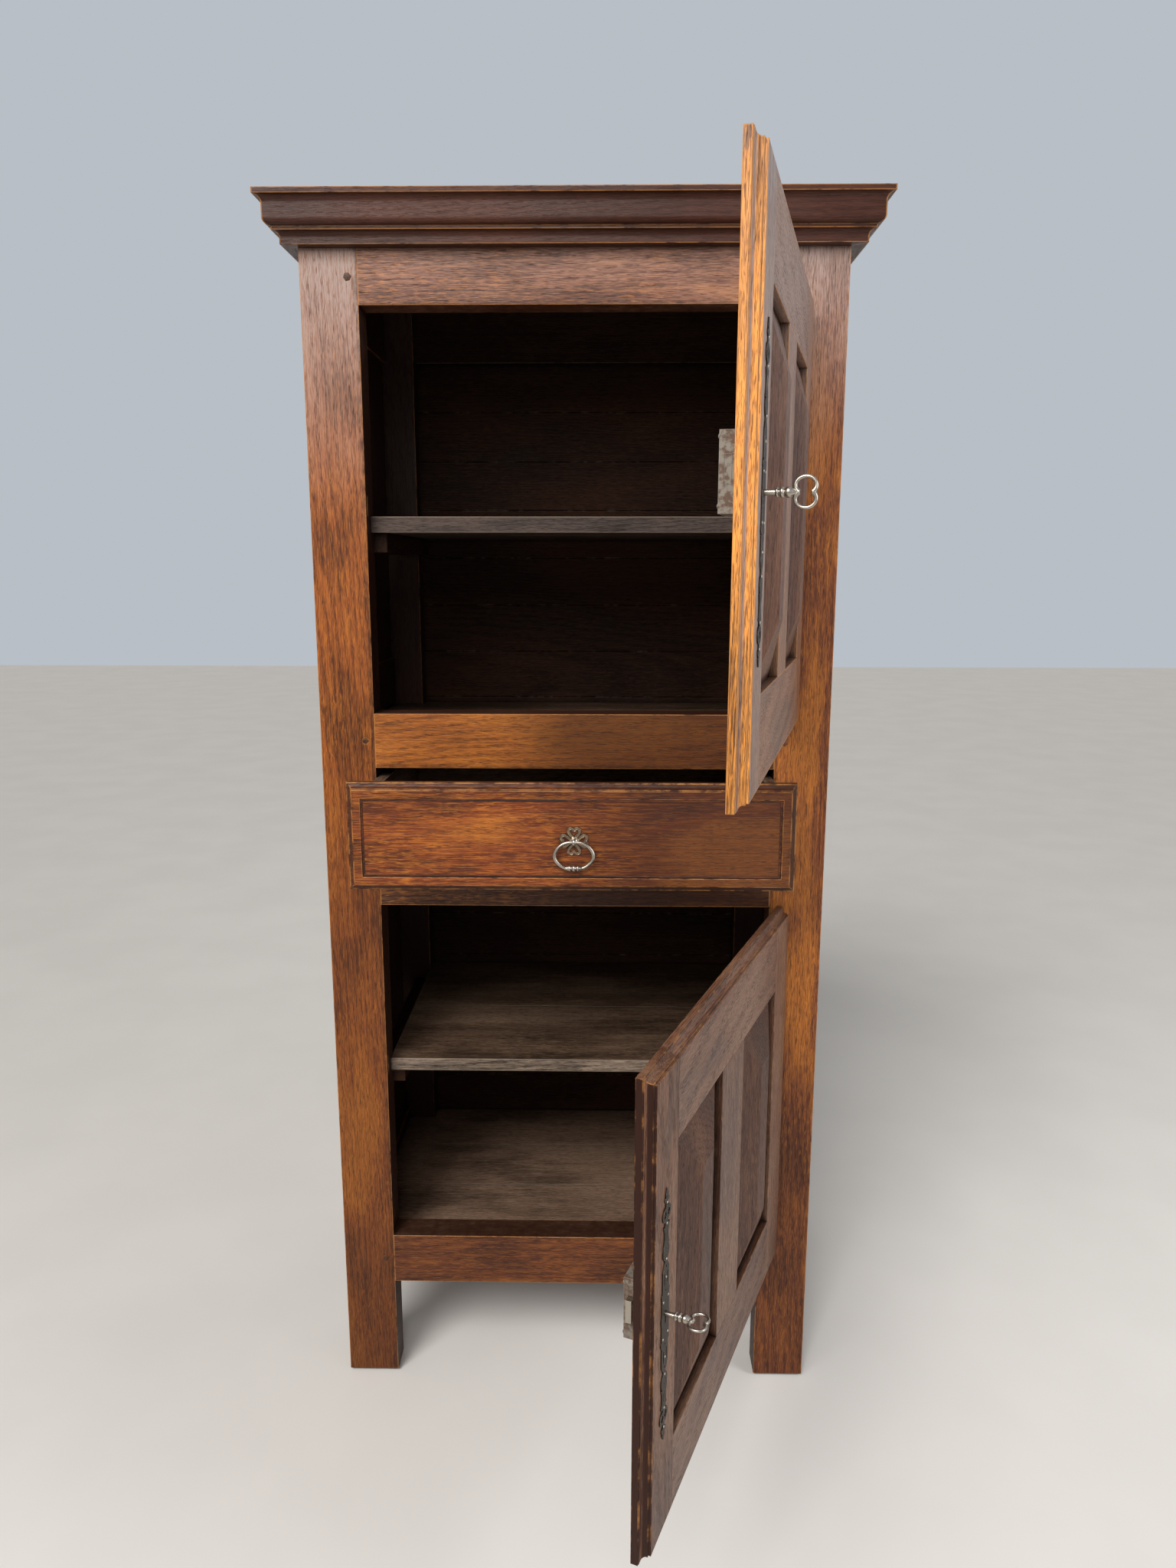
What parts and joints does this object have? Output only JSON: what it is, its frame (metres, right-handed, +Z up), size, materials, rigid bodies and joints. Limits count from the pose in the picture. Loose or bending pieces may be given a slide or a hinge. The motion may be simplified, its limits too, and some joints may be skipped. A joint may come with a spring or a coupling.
{
  "type": "tall cupboard",
  "caption": "Tall narrow oak cupboard: a door over a drawer over a door, raised panels, long pierced keyhole plates, and a moulded cornice.",
  "frame": {"origin": "centre of the underside of the front left foot", "axes": "+X to the right along the front, +Y from the front to the back, +Z up; the cupboard stands on z = 0"},
  "size_m": [0.899, 1.1498, 1.9255],
  "materials": {
    "frame_oak": "waxed, orange-brown, lightly worn",
    "peg_oak": "waxed end grain, dark",
    "inner_oak": "dry, dark brown, dusty",
    "cornice_oak": "waxed, dark brown, worn on the edges",
    "board_oak": "dry, grey-brown",
    "upper_door_oak": "waxed, grey-brown with orange edges",
    "lower_door_oak": "waxed, dark brown",
    "drawer_oak": "waxed, reddish brown",
    "hinge_iron": "dark, dull",
    "plate_iron": "pewter grey, rubbed",
    "bright_iron": "bright, hand-worn"
  },
  "bodies": {
    "carcass": {"front_left_post": "frame_oak", "front_right_post": "frame_oak", "rear_left_post": "inner_oak", "rear_right_post": "inner_oak", "bottom_rail": "frame_oak", "drawer_rail": "frame_oak", "middle_rail": "frame_oak", "top_rail": "frame_oak", "frame_pegs": "peg_oak", "side_rails": "inner_oak", "side_panels": "inner_oak", "rear_rails": "inner_oak", "back_planks": "inner_oak", "cornice_front": "cornice_oak", "cornice_left": "cornice_oak", "cornice_right": "cornice_oak", "top_boards": "inner_oak", "bottom_boards": "board_oak", "lower_shelf": "board_oak", "upper_floor": "board_oak", "upper_shelf": "board_oak", "shelf_cleats": "board_oak", "floor_cleats": "inner_oak", "drawer_runners": "board_oak", "drawer_kickers": "board_oak", "upper_hinge_frame_leaves": "hinge_iron", "lower_hinge_frame_leaves": "hinge_iron"},
    "upper_door": {"upper_door_lock_stile": "upper_door_oak", "upper_door_hinge_stile": "upper_door_oak", "upper_door_top_rail": "upper_door_oak", "upper_door_bottom_rail": "upper_door_oak", "upper_door_muntin": "upper_door_oak", "upper_door_left_panel": "upper_door_oak", "upper_door_right_panel": "upper_door_oak", "upper_hinge_door_leaves": "hinge_iron", "upper_escutcheon": "plate_iron", "upper_lock_case": "hinge_iron"},
    "upper_bolt": {"upper_lock_bolt": "bright_iron"},
    "upper_key": {"upper_key": "bright_iron"},
    "lower_door": {"lower_door_lock_stile": "lower_door_oak", "lower_door_hinge_stile": "lower_door_oak", "lower_door_top_rail": "lower_door_oak", "lower_door_bottom_rail": "lower_door_oak", "lower_door_muntin": "lower_door_oak", "lower_door_left_panel": "lower_door_oak", "lower_door_right_panel": "lower_door_oak", "lower_hinge_door_leaves": "hinge_iron", "lower_escutcheon": "plate_iron", "lower_lock_case": "hinge_iron"},
    "lower_bolt": {"lower_lock_bolt": "bright_iron"},
    "lower_key": {"lower_key": "bright_iron"},
    "drawer": {"drawer_front": "drawer_oak", "drawer_left_side": "board_oak", "drawer_right_side": "board_oak", "drawer_back": "board_oak", "drawer_bottom": "board_oak", "pull_plate": "plate_iron", "pull_eye": "bright_iron"},
    "bail": {"pull_bail": "bright_iron"}
  },
  "joints": [
    {"name": "upper_door_swing", "type": "hinge", "parent": "carcass", "child": "upper_door", "pos_m": [0.6891, -0.0296, 1.476], "axis": [0, 0, 1], "range_deg": [-76, 34]},
    {"name": "upper_key_turn", "type": "hinge", "parent": "upper_door", "child": "upper_key", "pos_m": [0.53668, -0.62398, 1.476], "axis": [0.9703, -0.2419, 0], "range_deg": [-1, 361]},
    {"name": "upper_bolt_slide", "type": "slide", "parent": "upper_door", "child": "upper_bolt", "axis": [-0.2419, -0.9703, 0], "range_m": [0, 0.012]},
    {"name": "lower_door_swing", "type": "hinge", "parent": "carcass", "child": "lower_door", "pos_m": [0.6891, -0.0296, 0.563], "axis": [0, 0, 1], "range_deg": [-68.2, 41.8]},
    {"name": "lower_key_turn", "type": "hinge", "parent": "lower_door", "child": "lower_key", "pos_m": [0.45742, -0.5978, 0.563], "axis": [0.9285, -0.3714, 0], "range_deg": [-271, 91]},
    {"name": "lower_bolt_slide", "type": "slide", "parent": "lower_door", "child": "lower_bolt", "axis": [-0.3714, -0.9285, 0], "range_m": [-0.009, 0.003]},
    {"name": "drawer_slide", "type": "slide", "parent": "carcass", "child": "drawer", "axis": [0, -1, 0], "range_m": [-0.141, 0.22]},
    {"name": "bail_swing", "type": "hinge", "parent": "drawer", "child": "bail", "pos_m": [0.362, -0.1962, 1.016], "axis": [-1, 0, 0], "range_deg": [0, 110]}
  ],
  "couplings": [
    {"joint": "upper_key_turn", "follows": "upper_bolt_slide", "rad_per_m": 523.6},
    {"joint": "lower_key_turn", "follows": "lower_bolt_slide", "rad_per_m": 523.6}
  ]
}
